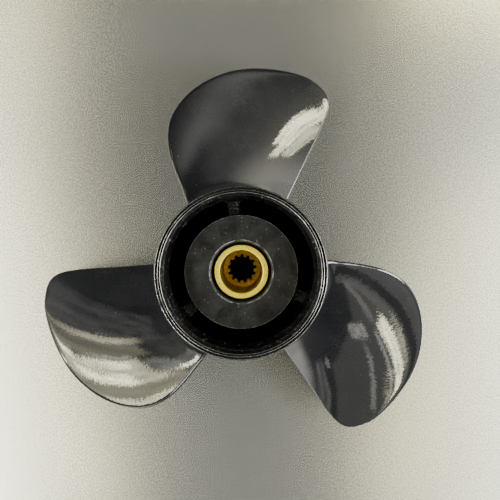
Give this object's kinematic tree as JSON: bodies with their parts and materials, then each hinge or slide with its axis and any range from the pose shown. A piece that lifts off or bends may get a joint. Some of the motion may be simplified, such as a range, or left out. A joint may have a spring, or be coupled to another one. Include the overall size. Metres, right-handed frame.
{
  "type": "outboard boat propeller",
  "caption": "Right-hand outboard boat propeller with broad raked blades on a hollow exhaust hub, a rubber torsion bush and a splined brass sleeve.",
  "frame": {"origin": "on the shaft axis at the height of the propeller's centroid, 45.2 mm forward of the aft rim", "axes": "+Z along the shaft axis towards the front end, which faces the gearcase; +X across the shaft, 97 degrees clockwise from the middle line of blade_1 when seen from the front"},
  "size_m": [0.2146, 0.2091, 0.092],
  "materials": {
    "black_paint": "gloss black enamel over cast aluminium",
    "black_paint_inside": "semi-gloss black enamel over rough cast aluminium",
    "rubber": "matt moulded",
    "brass": "turned and broached"
  },
  "bodies": {
    "root": {"hub_barrel": "black_paint", "blade_1": "black_paint", "blade_2": "black_paint", "blade_3": "black_paint", "rib_1": "black_paint_inside", "rib_2": "black_paint_inside", "rib_3": "black_paint_inside", "inner_hub": "black_paint_inside", "rubber_bush": "rubber", "splined_sleeve": "brass"}
  },
  "joints": []
}
